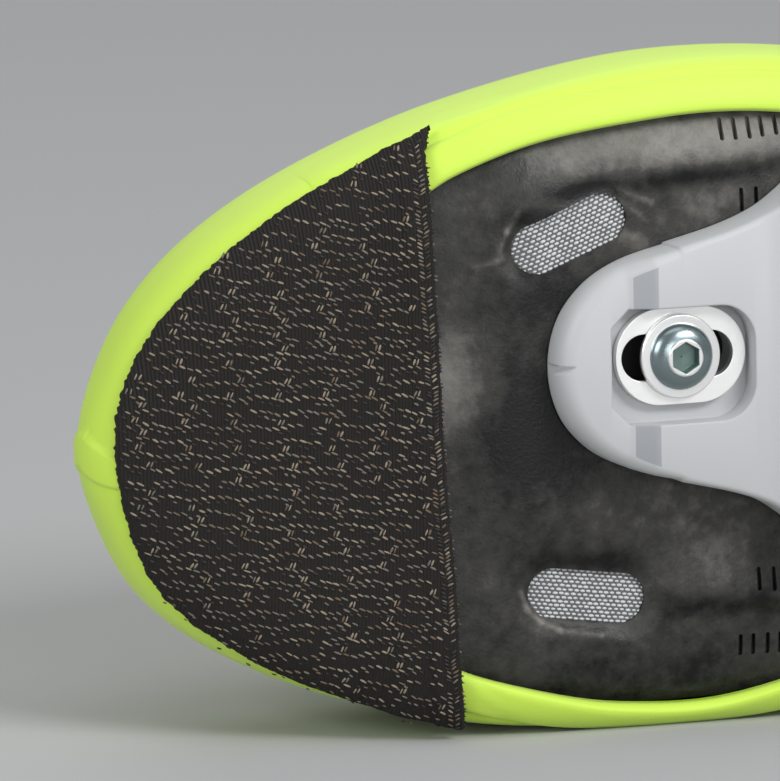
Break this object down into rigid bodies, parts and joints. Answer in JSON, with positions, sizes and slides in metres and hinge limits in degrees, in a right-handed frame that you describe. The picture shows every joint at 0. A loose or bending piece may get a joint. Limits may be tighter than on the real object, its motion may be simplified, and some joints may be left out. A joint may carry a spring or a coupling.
{
  "type": "cycling overshoe",
  "caption": "Cycling overshoe in bright stretch fabric with a woven toe patch, open under a moulded sole, lying on its inner side.",
  "frame": {"origin": "middle of the bounding box in X and Y, on the floor that the shoe lies on", "axes": "the toe points along -X and the collar opens along +Y; the sole faces -Y and the outer side of the foot faces +Z, because the shoe lies on its inner side"},
  "size_m": [0.2956, 0.1926, 0.106],
  "materials": {
    "stretch_fabric": "satin",
    "woven_patch": "matte",
    "moulded_sole": "satin",
    "footbed": "matte",
    "pad_rubber": "matte",
    "vent_mesh": "satin",
    "cleat_plastic": "satin",
    "steel": "polished"
  },
  "bodies": {
    "root": {"overshoe_upper": "stretch_fabric", "toe_patch": "woven_patch", "outsole": "moulded_sole", "insole": "footbed", "heel_pad": "pad_rubber", "vent_mesh_inner": "vent_mesh", "vent_mesh_outer": "vent_mesh", "cleat": "cleat_plastic", "washer_front": "steel", "washer_rear_inner": "steel", "washer_rear_outer": "steel", "bolt_front": "steel", "bolt_rear_inner": "steel", "bolt_rear_outer": "steel"}
  },
  "joints": []
}
